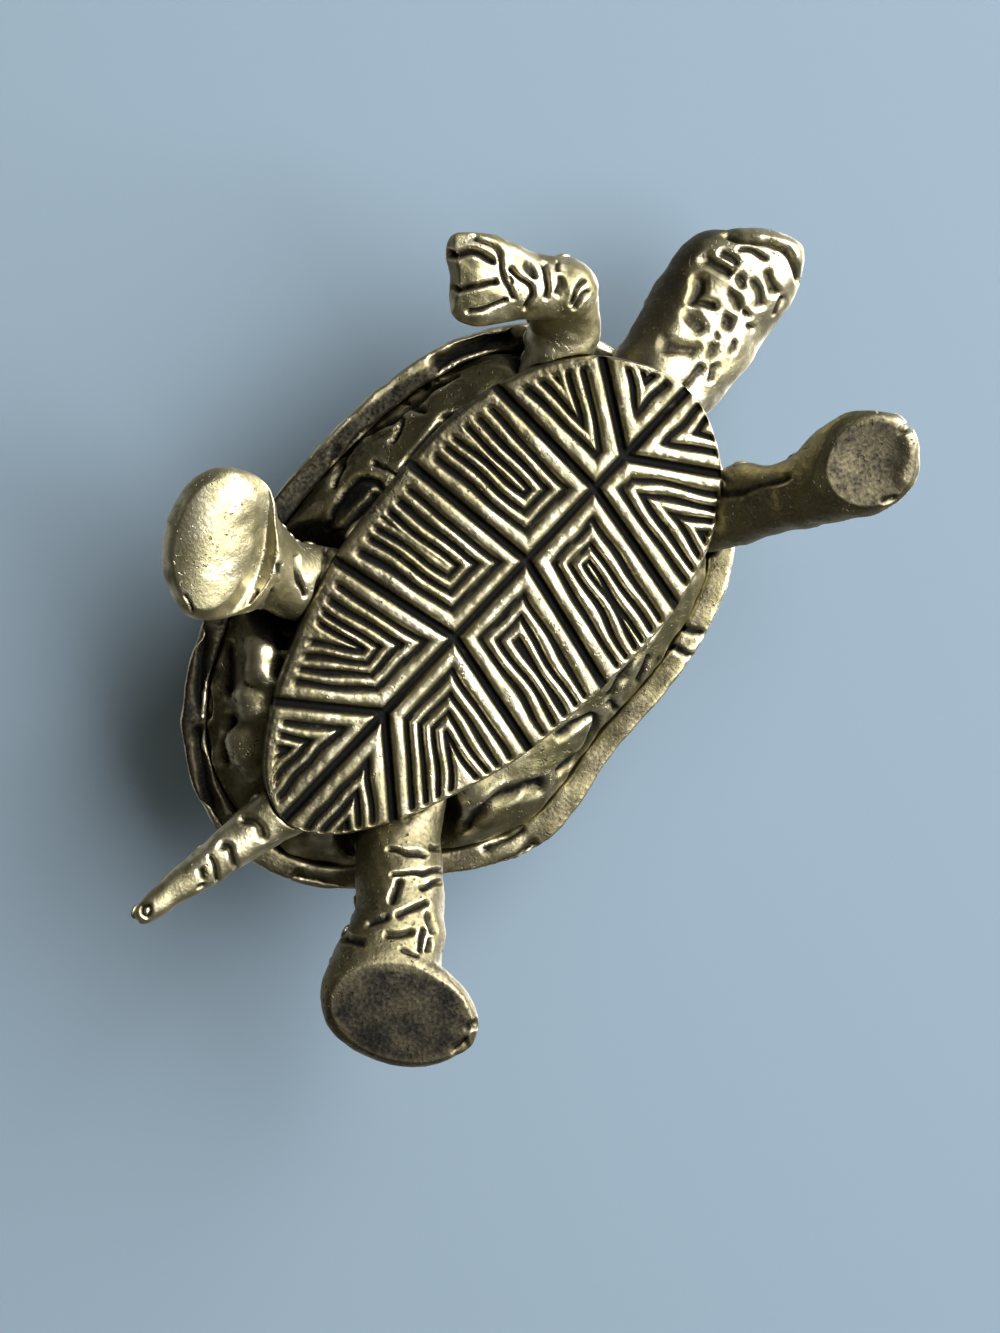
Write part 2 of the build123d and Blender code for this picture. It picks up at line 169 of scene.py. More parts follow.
class Work:
    # a mesh being carved, with the dirt and painted shade, and the polish and painted light, that are set on its
    # points
    def __init__(self, mesh):
        self.mesh = mesh
        self.count = len(mesh.vertices)
        flat = np.empty(self.count * 3, np.float32)
        mesh.vertices.foreach_get("co", flat)
        self.points = flat.reshape(-1, 3).astype(float)
        pairs = np.empty(len(mesh.edges) * 2, np.int32)
        mesh.edges.foreach_get("vertices", pairs)
        self.pairs = pairs.reshape(-1, 2)
        self.degree = np.bincount(self.pairs.ravel(), minlength=self.count)[:, None]
        self.dirt_and_shade = np.zeros(self.count)
        self.wear_and_light = np.zeros(self.count)
        self.refresh()

    def refresh(self):
        self.mesh.vertices.foreach_set("co", self.points.astype(np.float32).ravel())
        self.mesh.update()
        flat = np.empty(self.count * 3, np.float32)
        self.mesh.vertex_normals.foreach_get("vector", flat)
        self.normals = flat.reshape(-1, 3).astype(float)

    def averaged(self, values, rounds):
        # each point moves most of the way to the middle of its neighbours
        a, b = self.pairs[:, 0], self.pairs[:, 1]
        for _ in range(rounds):
            total = np.empty_like(values)
            for k in range(values.shape[1]):
                total[:, k] = np.bincount(a, values[b, k], self.count) + np.bincount(b, values[a, k], self.count)
            values = 0.4 * values + 0.6 * total / self.degree
        return values

    def soften(self, rounds):
        # averages and then pushes back, so that nothing shrinks
        for _ in range(rounds):
            inner = self.averaged(self.points, 1)
            self.points = inner + 0.55 * (inner - self.averaged(inner, 1))
        self.refresh()

    def facing(self):
        # 1 where the surface faces the photo's camera
        return np.clip(-4.0 * (self.normals @ np.array(photoAhead)), 0.0, 1.0)

    def press(self, heights):
        self.points += self.normals * heights[:, None]
        self.refresh()

    def melt(self, rounds, regrow, hold=0.0):
        # plain averaging rounds off edges and fills steps; regrow pushes the surface back out
        smooth = self.averaged(self.points, rounds)
        share = np.broadcast_to(1.0 - hold, self.count)
        self.points += share[:, None] * (smooth - self.points)
        self.refresh()
        self.press(regrow * share)

    def pull(self, pulls):
        # a place and a reach in pixels, then how far to move across and up the photo in millimetres
        spots = photoSpots(self.points)
        for spot, reach, across, upward in pulls:
            near = 1.0 - smoothStep(0.0, reach, np.linalg.norm(spots - spot, axis=1))
            self.points += near[:, None] * (across * np.array(photoRight) + upward * np.array(photoUp))
        self.refresh()

    def photoMarks(self, marks):
        # each mark is a line in the photo, its width in pixels and its depth in millimetres, or minus its height
        stray = [wavy(self.points, markLook["strayScale"], seed) for seed in markLook["straySeeds"]]
        spots = photoSpots(self.points) + markLook["stray"] * np.stack(stray, axis=1)
        shown = self.facing()
        change = np.zeros(self.count)
        for line, width, depth in marks:
            gap = polylineDistance(spots, curved(line))
            near = shown * (1.0 - smoothStep(0.0, 0.8 * width, gap))
            deeper = -depth * near
            change = np.where(np.abs(deeper) > np.abs(change), deeper, change)
            if depth > 0:
                middle = 1.0 - smoothStep(0.1 * width, 0.65 * width, gap)
                self.dirt_and_shade = np.maximum(self.dirt_and_shade, markLook["dirt"] * shown * middle)
            else:
                self.wear_and_light = np.maximum(self.wear_and_light, markLook["shine"] * near)
        self.press(change)

    def readHollows(self, rounds, hollow, edge):
        # dirt where the surface lies deeper than around it, wear where it stands out
        broad = self.averaged(self.points, rounds)
        rise = np.sum((broad - self.points) * self.normals, axis=1)
        self.dirt_and_shade = np.maximum(self.dirt_and_shade, smoothStep(0.25 * hollow, hollow, rise))
        self.wear_and_light = np.maximum(self.wear_and_light, smoothStep(0.2 * edge, edge, -rise) * (1 - self.dirt_and_shade))


def wavy(points, scale, seed):
    # smooth made-up unevenness: a few crossed waves with a fixed seed
    rng = np.random.default_rng(seed)
    total = np.zeros(len(points))
    waves = 7
    for _ in range(waves):
        way = rng.normal(size=3)
        way /= np.linalg.norm(way)
        total += np.sin(points @ way * (2 * math.pi / scale) * rng.uniform(0.6, 1.6) + rng.uniform(0, 6.28))
    return total / waves ** 0.5


def unevenness(points, relief):
    # each wave field has a height and a wave length in millimetres, and a seed
    return sum(height * wavy(points, scale, seed) for height, scale, seed in relief)


# a value is a plain number or colour, or a socket to link from
def feed(tree, socket, value):
    if isinstance(value, bpy.types.NodeSocket):
        tree.links.new(value, socket)
    else:
        socket.default_value = value


def groupOf(name, kind, takes, gives):
    group = bpy.data.node_groups.new(name, kind)
    for label, socketKind, value in takes:
        socket = group.interface.new_socket(label, in_out="INPUT", socket_type=socketKind)
        if value is not None:
            socket.default_value = value
    for label, socketKind in gives:
        group.interface.new_socket(label, in_out="OUTPUT", socket_type=socketKind)
    return group, group.nodes.new("NodeGroupInput"), group.nodes.new("NodeGroupOutput")


def mathNode(tree, operation, first, second, clamp=False):
    node = tree.nodes.new("ShaderNodeMath")
    node.operation = operation
    node.use_clamp = clamp
    feed(tree, node.inputs[0], first)
    feed(tree, node.inputs[1], second)
    return node.outputs[0]


def rangeNode(tree, value, low, high, start=0.0, end=1.0):
    node = tree.nodes.new("ShaderNodeMapRange")
    node.interpolation_type = "SMOOTHSTEP"
    tree.links.new(value, node.inputs["Value"])
    for label, number in (("From Min", low), ("From Max", high), ("To Min", start), ("To Max", end)):
        node.inputs[label].default_value = number
    return node.outputs["Result"]


def noiseNode(tree, place, scale, detail):
    node = tree.nodes.new("ShaderNodeTexNoise")
    tree.links.new(place, node.inputs["Vector"])
    node.inputs["Detail"].default_value = detail
    feed(tree, node.inputs["Scale"], scale)
    return node.outputs["Fac"]


def mixColour(tree, share, first, second):
    node = tree.nodes.new("ShaderNodeMix")
    node.data_type = "RGBA"
    tree.links.new(share, node.inputs[0])
    feed(tree, node.inputs[6], first)
    feed(tree, node.inputs[7], second)
    return node.outputs[2]


# raised scales on the upper sides of limbs and neck: flattened beads, evenly scattered
beadLook = {"leastUpward": 0.3, "densest": 3e6, "subdivisions": 3, "wear_and_light": 0.4, "flatness": 0.4}


def makeScales():
    takes = [
        ("Geometry", "NodeSocketGeometry", None),
        ("Spacing", "NodeSocketFloat", 0.0009),
        ("Size", "NodeSocketFloat", 0.0005),
        ("Lowest", "NodeSocketFloat", 0.0),
        ("Foremost", "NodeSocketFloat", -1.0),
        ("Seed", "NodeSocketInt", 1),
        ("Metal", "NodeSocketMaterial", None),
    ]
    group, inside, outside = groupOf("scaleBeads", "GeometryNodeTree", takes, [("Geometry", "NodeSocketGeometry")])
    add, link = group.nodes.new, group.links.new
    facing, place = add("ShaderNodeSeparateXYZ"), add("ShaderNodeSeparateXYZ")
    link(add("GeometryNodeInputNormal").outputs[0], facing.inputs[0])
    link(add("GeometryNodeInputPosition").outputs[0], place.inputs[0])
    upward = mathNode(group, "GREATER_THAN", facing.outputs["Z"], beadLook["leastUpward"])
    above = mathNode(group, "GREATER_THAN", place.outputs["Z"], inside.outputs["Lowest"])
    behind = mathNode(group, "GREATER_THAN", place.outputs["Y"], inside.outputs["Foremost"])
    scatter = add("GeometryNodeDistributePointsOnFaces")
    scatter.distribute_method = "POISSON"
    scatter.inputs["Density Max"].default_value = beadLook["densest"]
    link(inside.outputs["Geometry"], scatter.inputs["Mesh"])
    link(inside.outputs["Spacing"], scatter.inputs["Distance Min"])
    chosen = mathNode(group, "MULTIPLY", mathNode(group, "MULTIPLY", upward, above), behind)
    link(chosen, scatter.inputs["Density Factor"])
    link(inside.outputs["Seed"], scatter.inputs["Seed"])
    bead = add("GeometryNodeMeshIcoSphere")
    bead.inputs["Subdivisions"].default_value = beadLook["subdivisions"]
    worn = add("GeometryNodeStoreNamedAttribute")
    worn.data_type = "FLOAT"
    worn.inputs["Name"].default_value = "wear_and_light"
    worn.inputs["Value"].default_value = beadLook["wear_and_light"]
    link(bead.outputs["Mesh"], worn.inputs["Geometry"])
    shape = add("ShaderNodeCombineXYZ")
    link(inside.outputs["Size"], shape.inputs["X"])
    link(inside.outputs["Size"], shape.inputs["Y"])
    link(mathNode(group, "MULTIPLY", inside.outputs["Size"], beadLook["flatness"]), shape.inputs["Z"])
    spread = add("GeometryNodeInstanceOnPoints")
    link(scatter.outputs["Points"], spread.inputs["Points"])
    link(scatter.outputs["Rotation"], spread.inputs["Rotation"])
    link(worn.outputs[0], spread.inputs["Instance"])
    link(shape.outputs[0], spread.inputs["Scale"])
    both = add("GeometryNodeJoinGeometry")
    link(inside.outputs["Geometry"], both.inputs[0])
    link(spread.outputs[0], both.inputs[0])
    real = add("GeometryNodeRealizeInstances")
    link(both.outputs[0], real.inputs[0])
    dress = add("GeometryNodeSetMaterial")
    link(real.outputs[0], dress.inputs["Geometry"])
    link(inside.outputs["Metal"], dress.inputs["Material"])
    link(dress.outputs[0], outside.inputs[0])
    return group


scalesGroup = makeScales()


def addScales(piece, scales, material):
    modifier = piece.modifiers.new("scales", "NODES")
    modifier.node_group = scalesGroup
    values = {label.capitalize(): value for label, value in scales.items()} | {"Metal": material}
    for item in scalesGroup.interface.items_tree:
        if item.in_out == "INPUT" and item.name in values:
            modifier[item.identifier] = values[item.name]
    plain = bpy.data.meshes.new_from_object(piece.evaluated_get(bpy.context.evaluated_depsgraph_get()))
    piece.modifiers.clear()
    piece.data = plain
    plain.polygons.foreach_set("use_smooth", np.ones(len(plain.polygons), bool))


def finishPiece(name, node, work, material, scales=None):
    work.points *= 0.001  # back to metres
    work.refresh()
    # dirt with painted shade, and polish with painted light, are stored on the points for the material
    for label, values in (("dirt_and_shade", work.dirt_and_shade), ("wear_and_light", work.wear_and_light)):
        field = work.mesh.attributes.new(label, "FLOAT", "POINT")
        field.data.foreach_set("value", np.clip(values, 0, 1).astype(np.float32))
    work.mesh.polygons.foreach_set("use_smooth", np.ones(len(work.mesh.polygons), bool))
    work.mesh.materials.clear()
    work.mesh.materials.append(material)
    piece = bpy.data.objects.new(name, work.mesh)
    bpy.context.scene.collection.objects.link(piece)
    if scales:
        addScales(piece, scales, material)
    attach(piece, "root")
    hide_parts(node)


# casting pits and grain; scales are per metre
pitLook = {
    "fineScale": 4200.0,
    "broadScale": 600.0,
    "fineShare": 0.72,
    "broadShare": 0.28,
    "level": 0.78,
    "levelDrop": 0.22,
    "steepness": 9.0,
}


def makePits():
    takes = [("Place", "NodeSocketVector", None), ("Size", "NodeSocketFloat", 1.0), ("Amount", "NodeSocketFloat", 0.5)]
    gives = [("Pits", "NodeSocketFloat"), ("Grain", "NodeSocketFloat")]
    group, inside, outside = groupOf("castPits", "ShaderNodeTree", takes, gives)
    place, size, amount = (inside.outputs[label] for label in ("Place", "Size", "Amount"))
    fine = noiseNode(group, place, mathNode(group, "DIVIDE", pitLook["fineScale"], size), 3.0)
    broad = noiseNode(group, place, mathNode(group, "DIVIDE", pitLook["broadScale"], size), 2.0)
    level = mathNode(group, "SUBTRACT", pitLook["level"], mathNode(group, "MULTIPLY", amount, pitLook["levelDrop"]))
    finePart = mathNode(group, "MULTIPLY", fine, pitLook["fineShare"])
    both = mathNode(group, "ADD", finePart, mathNode(group, "MULTIPLY", broad, pitLook["broadShare"]))
    over = mathNode(group, "MULTIPLY", mathNode(group, "SUBTRACT", both, level), pitLook["steepness"], clamp=True)
    group.links.new(over, outside.inputs["Pits"])
    group.links.new(fine, outside.inputs["Grain"])
    return group


# antique finish: bright metal on worn spots, tarnish beside the hollows and dark dirt in them; the same inputs also
# carry painted shade and painted light
patinaLook = {
    "cloudShine": (0.42, 0.66, -0.25, 0.4),
    "patches": 0.6,
    "speckleMiddle": 0.48,
    "speckles": 0.5,
    "wearCleans": 0.3,
    "tarnishRange": (0.05, 0.55),
    "dirtRange": (0.45, 0.95),
    "pitDirt": 0.7,
    "roughDull": 0.45,
    "roughBright": 0.35,
    "roughDirt": 0.3,
}


def makePatina():
    takes = [
        ("Dirt_and_shade", "NodeSocketFloat", 0.0),
        ("Wear_and_light", "NodeSocketFloat", 0.0),
        ("Pits", "NodeSocketFloat", 0.0),
        ("Cloud", "NodeSocketFloat", 0.5),
        ("Grain", "NodeSocketFloat", 0.5),
        ("Bright", "NodeSocketColor", (0.8, 0.66, 0.34, 1)),
        ("Dull", "NodeSocketColor", (0.42, 0.33, 0.14, 1)),
        ("Tarnish", "NodeSocketColor", (0.1, 0.08, 0.04, 1)),
        ("Dark", "NodeSocketColor", (0.012, 0.013, 0.016, 1)),
    ]
    gives = [("Colour", "NodeSocketColor"), ("Roughness", "NodeSocketFloat")]
    group, inside, outside = groupOf("patina", "ShaderNodeTree", takes, gives)
    given = inside.outputs
    cloudShine = rangeNode(group, given["Cloud"], *patinaLook["cloudShine"])
    shine = mathNode(group, "ADD", given["Wear_and_light"], cloudShine, clamp=True)
    metal = mixColour(group, shine, given["Dull"], given["Bright"])
    patchy = mathNode(group, "MULTIPLY", mathNode(group, "SUBTRACT", given["Cloud"], 0.5), patinaLook["patches"])
    grain = mathNode(group, "SUBTRACT", given["Grain"], patinaLook["speckleMiddle"])
    speckled = mathNode(group, "MULTIPLY", grain, patinaLook["speckles"])
    loose = mathNode(group, "ADD", given["Dirt_and_shade"], mathNode(group, "ADD", patchy, speckled))
    loose = mathNode(group, "SUBTRACT", loose, mathNode(group, "MULTIPLY", given["Wear_and_light"], patinaLook["wearCleans"]))
    metal = mixColour(group, rangeNode(group, loose, *patinaLook["tarnishRange"]), metal, given["Tarnish"])
    pitDirt = mathNode(group, "MULTIPLY", given["Pits"], patinaLook["pitDirt"])
    dirt = mathNode(group, "MAXIMUM", rangeNode(group, loose, *patinaLook["dirtRange"]), pitDirt)
    group.links.new(mixColour(group, dirt, metal, given["Dark"]), outside.inputs["Colour"])
    polished = rangeNode(group, shine, 0.0, 1.0, patinaLook["roughDull"], patinaLook["roughBright"])
    rough = mathNode(group, "ADD", mathNode(group, "MULTIPLY", dirt, patinaLook["roughDirt"]), polished)
    group.links.new(rough, outside.inputs["Roughness"])
    return group


pitsGroup = makePits()
patinaGroup = makePatina()


def makeBrass(name, settings):
    material = bpy.data.materials.new(name)
    material.use_nodes = True
    tree = material.node_tree
    tree.nodes.clear()
    outside = tree.nodes.new("ShaderNodeOutputMaterial")
    metal = tree.nodes.new("ShaderNodeBsdfPrincipled")
    place = tree.nodes.new("ShaderNodeTexCoord").outputs["Object"]
    pits = tree.nodes.new("ShaderNodeGroup")
    pits.node_tree = pitsGroup
    tree.links.new(place, pits.inputs["Place"])
    pits.inputs["Size"].default_value = settings["pitSize"]
    pits.inputs["Amount"].default_value = settings["pitAmount"]
    coat = tree.nodes.new("ShaderNodeGroup")
    coat.node_tree = patinaGroup
    for label in ("Dirt_and_shade", "Wear_and_light"):
        painted = tree.nodes.new("ShaderNodeAttribute")
        painted.attribute_name = label.lower()
        tree.links.new(painted.outputs["Fac"], coat.inputs[label])
    for label in ("Pits", "Grain"):
        tree.links.new(pits.outputs[label], coat.inputs[label])
    tree.links.new(noiseNode(tree, place, settings["cloudScale"], 4.0), coat.inputs["Cloud"])
    for label in ("Bright", "Dull", "Tarnish", "Dark"):
        coat.inputs[label].default_value = settings[label.lower()]
    bump = tree.nodes.new("ShaderNodeBump")
    bump.inputs["Strength"].default_value = settings["bump"]
    bump.inputs["Distance"].default_value = settings["bumpDepth"]
    grain = mathNode(tree, "MULTIPLY", pits.outputs["Grain"], 0.5)
    tree.links.new(mathNode(tree, "SUBTRACT", grain, pits.outputs["Pits"]), bump.inputs["Height"])
    metal.inputs["Metallic"].default_value = 1.0
    tree.links.new(coat.outputs["Colour"], metal.inputs["Base Color"])
    tree.links.new(coat.outputs["Roughness"], metal.inputs["Roughness"])
    tree.links.new(bump.outputs["Normal"], metal.inputs["Normal"])
    tree.links.new(metal.outputs[0], outside.inputs["Surface"])
    return material


antiqueBrass = makeBrass("antiqueBrass", {
    "pitSize": 1.0,
    "pitAmount": 0.8,
    "cloudScale": 520.0,
    "bright": (0.80, 0.74, 0.53, 1),
    "dull": (0.25, 0.225, 0.125, 1),
    "tarnish": (0.1, 0.087, 0.054, 1),
    "dark": (0.014, 0.014, 0.014, 1),
    "bump": 0.7,
    "bumpDepth": 0.00009,
})
# a darker copy of the brass for the inner body between the shells: painted shade
paintedShadeBrass = makeBrass("paintedShadeBrass", {
    "pitSize": 1.2,
    "pitAmount": 0.95,
    "cloudScale": 420.0,
    "bright": (0.66, 0.61, 0.43, 1),
    "dull": (0.2, 0.18, 0.095, 1),
    "tarnish": (0.085, 0.074, 0.043, 1),
    "dark": (0.010, 0.010, 0.011, 1),
    "bump": 0.6,
    "bumpDepth": 0.00009,
})
print("stage: materials")

# belly plate: a fine sheet with the ribs of its scutes, a rounded edge, walls and a flat back
plate = {
    "rows": 600,
    "columns": 152,
    "crown": 1.2,
    "edgeRound": 0.35,
    "seamHalf": 0.24,
    "seamDepth": 0.56,
    "grooveDepth": 0.36,
    # from and to, as distances from the nearest seam
    "ribs": [(0.22, 1.14), (1.38, 2.0), (2.24, 2.8), (3.02, 3.56), (3.78, 4.4)],
    "ribSharpness": 3.2,
    "crestRelief": 0.014,
    "crestWear": 0.6,
    # how dark the painted shade on the right side and the rear is
    "paintedShadeLevel": 0.4,
    "wobble": 0.08,
    "endSlope": 1.5,
    "grooveEndsRight": (0.6, 1.2),
    "grooveEndsLeft": (0.15, 0.5),
    "leastWall": 0.3,
    # place on the middle line, then the right and the left end, as shares of half width and length
    "seams": [
        (0.157, (-0.55, 0.061), (0.48, 0.076)),
        (0.23, (-0.91, 0.22), (0.86, 0.272)),
        (0.398, (-0.97, 0.414), (1.04, 0.466)),
        (0.576, (-0.87, 0.617), (0.92, 0.63)),
        (0.75, (-0.51, 0.85), (0.54, 0.874)),
    ],
    "outline": [
        (0.0, 0.0), (0.3, 0.018), (0.62, 0.075), (0.86, 0.17), (1.0, 0.31), (0.985, 0.49),
        (0.91, 0.64), (0.76, 0.76), (0.56, 0.875), (0.3, 0.965), (0.0, 1.0),
    ],
}


def plateOutline():
    # half widths and lengths as shares, mirrored past both ends so that they close round
    side = [(-plate["outline"][1][0], plate["outline"][1][1])] + plate["outline"]
    side.append((-plate["outline"][-2][0], plate["outline"][-2][1]))
    steps = 24
    keep = curved(side, steps)[steps:-steps]
    return keep[:, 0], np.maximum.accumulate(keep[:, 1])


def plateEdgeGap(x, y, halfHere, length):
    ends = np.minimum(y, length - y)
    return np.minimum(halfHere - np.abs(x), ends * plate["endSlope"] + 0.02)


def plateHeights(x, y, halfWidth, length, edgeGap):
    points = np.stack([x, y, np.zeros_like(x)], axis=1)
    near = np.abs(x)  # distance from the nearest seam
    for share, rightEnd, leftEnd in plate["seams"]:
        end = np.where((x < 0)[:, None], np.array(rightEnd), np.array(leftEnd)) * np.array([halfWidth, length])
        start = np.array([0.0, share * length])
        run = end - start
        off = (run[:, 0] * (y - start[1]) - run[:, 1] * x) / np.linalg.norm(run, axis=1)
        near = np.minimum(near, np.abs(off))
    near = near + plate["wobble"] * wavy(points, 3.2, 4) * smoothStep(0.3, 1.0, near)
    fall = np.ones(len(x))
    for low, high in plate["ribs"]:
        off = (near - (low + high) / 2) / ((high - low) / 2)
        if (low, high) == plate["ribs"][-1]:
            off = np.minimum(off, 0.0)  # the last rib fills what is left of the scute
        fall = np.minimum(fall, np.abs(off) ** plate["ribSharpness"])
    rightEnds = smoothStep(*plate["grooveEndsRight"], edgeGap)
    openEnds = np.where(x < 0, rightEnds, smoothStep(*plate["grooveEndsLeft"], edgeGap))
    seam = 1 - smoothStep(0.1, plate["seamHalf"] + 0.15, near)
    groove = fall * np.where(near < plate["ribs"][0][1] - 0.4, 1.0, openEnds)
    depth = np.maximum(groove * plate["grooveDepth"], seam * plate["seamDepth"])
    crest = 1 - smoothStep(0.0, 0.5, fall)
    depth -= plate["crestRelief"] * wavy(points, 0.8, 9) * crest
    dirt = np.maximum(smoothStep(0.5, 0.92, groove), smoothStep(0.35, 0.8, seam))
    return depth, dirt, crest


def makePlastron():
    low, high = [np.array(v) * 1000 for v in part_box("plastron")]
    middle, front, length = (low[0] + high[0]) / 2, low[1], high[1] - low[1]
    halfWidth = (high[0] - low[0]) / 2
    widths, lengths = plateOutline()
    rows, columns = plate["rows"], plate["columns"]
    # rows and columns lie closer together towards the edge
    u = np.linspace(0, 1, rows + 1)
    t = 0.55 * u + 0.45 * 0.5 * (1 - np.cos(math.pi * u))
    half = np.maximum(np.interp(t, lengths, widths), 0.0) * halfWidth / widths.max()
    s = np.sin(np.linspace(-1, 1, columns + 1) * 1.25) / math.sin(1.25)
    x = (half[:, None] * s[None, :]).ravel()
    y = np.repeat(t * length, columns + 1)
    edgeGap = plateEdgeGap(x, y, np.repeat(half, columns + 1), length)
    depth, _, _ = plateHeights(x, y, halfWidth, length, edgeGap)
    edgeRound = plate["edgeRound"]
    over = np.clip(edgeRound - edgeGap, 0, edgeRound)
    lift = edgeRound - np.sqrt(np.maximum(edgeRound ** 2 - over ** 2, 0))
    cut = np.maximum(depth, 0.0) * smoothStep(-0.1, 0.25, edgeGap)
    z = low[2] + plate["crown"] * (x / halfWidth) ** 2 + cut + lift + np.minimum(depth, 0.0)
    z = np.minimum(z, high[2] - plate["leastWall"])
    under = np.stack([x + middle, y + front, z], axis=1)
    index = np.arange(len(under)).reshape(rows + 1, columns + 1)
    corners = [index[:-1, :-1], index[1:, :-1], index[1:, 1:], index[:-1, 1:]]
    faces = np.stack(corners, axis=-1).reshape(-1, 4)
    left, right = index[:, 0], index[:, -1]
    topLeft, topRight = under[left].copy(), under[right].copy()
    topLeft[:, 2] = topRight[:, 2] = high[2]
    leftTop = len(under) + np.arange(rows + 1)
    rightTop = leftTop + rows + 1
    walls = [
        np.stack([left[1:], left[:-1], leftTop[:-1], leftTop[1:]], axis=1),
        np.stack([right[:-1], right[1:], rightTop[1:], rightTop[:-1]], axis=1),
        np.stack([leftTop[:-1], rightTop[:-1], rightTop[1:], leftTop[1:]], axis=1),
    ]
    points = np.vstack([under, topLeft, topRight])
    mesh = bpy.data.meshes.new("plastron")
    mesh.from_pydata(points.tolist(), [], np.vstack([faces] + walls).tolist())
    shape = bmesh.new()
    shape.from_mesh(mesh)
    bmesh.ops.remove_doubles(shape, verts=shape.verts, dist=1e-5)
    bmesh.ops.dissolve_degenerate(shape, dist=1e-6, edges=shape.edges)
    bmesh.ops.recalc_face_normals(shape, faces=shape.faces)
    shape.to_mesh(mesh)
    shape.free()
    work = Work(mesh)
    x, y = work.points[:, 0] - middle, work.points[:, 1] - front
    halfHere = np.interp(y / length, lengths, widths) * halfWidth / widths.max()
    _, dirt, crest = plateHeights(x, y, halfWidth, length, plateEdgeGap(x, y, halfHere, length))
    # painted shade: the right side and the rear are darkened and lose their shine
    paintedShade = np.maximum(smoothStep(0.25, -0.8, x / halfWidth), 0.9 * smoothStep(0.7, 0.95, y / length))
    work.dirt_and_shade = np.maximum(dirt, plate["paintedShadeLevel"] * paintedShade)
    work.wear_and_light = plate["crestWear"] * crest * (1 - 0.7 * paintedShade)
    finishPiece("bellyPlate", "plastron", work, antiqueBrass)


makePlastron()
print("stage: belly plate")

# head and neck
head = {
    "voxel": 0.1,
    "melt": (140, 0.22),
    "relief": [(0.06, 3.0, 21), (0.012, 1.2, 22)],
    "eyeLevel": 11.9,
    "scales": {"spacing": 0.0011, "size": 0.0005, "lowest": 0.0102, "foremost": -0.0222, "seed": 71},
    "eyes": [(-3.237, -25.23, 12.06), (2.451, -25.23, 12.06)],
    "eyeRing": 1.0,
    "eyeDepth": 0.18,
    "nostrils": [(-0.95, -28.3, 11.4), (0.16, -28.3, 11.4)],
    "nostrilDepth": 0.2,
    "mouthLevel": 10.2,
    "mouthCorner": -23.0,
    "mouthDepth": 0.22,
    "shadeEdge": [(738, 229), (710, 240), (698, 264), (686, 307), (666, 353)],
    "throatShade": 0.55,
    "throatLight": 0.4,
    "pulls": [((745, 222), 34, 0.2, -0.5), ((797, 246), 38, 0.8, 0.4), ((775, 330), 45, -0.6, 0.2)],
    "marks": [
        ([(728, 234), (755, 240), (773, 244), (785, 249), (797, 266), (801, 280)], 9, 0.5),
        ([(741, 250), (753, 252), (765, 258)], 7, 0.25),
        ([(724, 253), (735, 261)], 9, 0.3),
        ([(708, 259), (727, 271)], 13, 0.45),
        ([(700, 281), (695, 299)], 14, 0.5),
        ([(700, 302), (713, 305)], 9, 0.35),
        ([(690, 318), (700, 327)], 16, 0.4),
        ([(668, 346), (692, 352)], 18, 0.4),
        ([(740, 278), (743, 284)], 12, 0.3),
        ([(755, 283), (759, 292), (760, 304)], 12, 0.32),
        ([(768, 275), (775, 292)], 11, 0.3),
        ([(729, 294), (737, 306)], 12, 0.28),
        ([(747, 312), (749, 314)], 9, 0.26),
        ([(727, 319), (727, 324)], 14, 0.34),
        ([(750, 326), (752, 328)], 7, 0.2),
        ([(713, 347), (711, 355)], 12, 0.3),
        ([(734, 344), (732, 350)], 9, 0.25),
        ([(717, 334), (718, 338)], 7, 0.2),
        ([(686, 384), (695, 377), (702, 368)], 10, 0.32),
        ([(716, 368), (711, 378)], 9, 0.25),
        ([(775, 312), (782, 300)], 7, 0.2),
    ],
}


def carveFace(work):
    cut = np.zeros(work.count)
    for eye in head["eyes"]:
        away = np.linalg.norm(work.points - np.array(eye), axis=1)
        ring = 1 - smoothStep(0.05, 0.32, np.abs(away - head["eyeRing"]))
        cut = np.maximum(cut, head["eyeDepth"] * ring)
        work.wear_and_light = np.maximum(work.wear_and_light, 1 - smoothStep(0.6, 0.85, away))
    for nostril in head["nostrils"]:
        away = np.linalg.norm(work.points - np.array(nostril), axis=1)
        cut = np.maximum(cut, head["nostrilDepth"] * (1 - smoothStep(0.1, 0.45, away)))
    line = 1 - smoothStep(0.08, 0.3, np.abs(work.points[:, 2] - head["mouthLevel"]))
    line *= smoothStep(head["mouthCorner"], head["mouthCorner"] - 0.8, work.points[:, 1]) * (1 - work.facing())
    cut = np.maximum(cut, head["mouthDepth"] * line)
    work.dirt_and_shade = np.maximum(work.dirt_and_shade, smoothStep(0.06, 0.16, cut))
    work.press(-cut)


def makeHead():
    work = Work(fineMesh("head_and_neck", head["voxel"]))
    work.soften(softRounds)
    work.melt(*head["melt"], smoothStep(head["eyeLevel"] - 0.7, head["eyeLevel"], work.points[:, 2]))
    work.pull(head["pulls"])
    work.press(unevenness(work.points, head["relief"]))
    work.photoMarks(head["marks"])
    carveFace(work)
    # painted shade on one side of the throat and painted highlight on the other
    spots = photoSpots(work.points)
    edge = np.array(head["shadeEdge"], float)
    side = spots[:, 0] - np.interp(spots[:, 1], edge[:, 1], edge[:, 0])
    work.dirt_and_shade = np.maximum(work.dirt_and_shade, head["throatShade"] * (1 - smoothStep(-14, 6, side)) * work.facing())
    work.readHollows(*limbHollows)
    work.wear_and_light = np.maximum(work.wear_and_light, head["throatLight"] * smoothStep(-10, 14, side) * work.facing())
    finishPiece("headAndNeck", "head_and_neck", work, antiqueBrass, head["scales"])


makeHead()
print("stage: head")

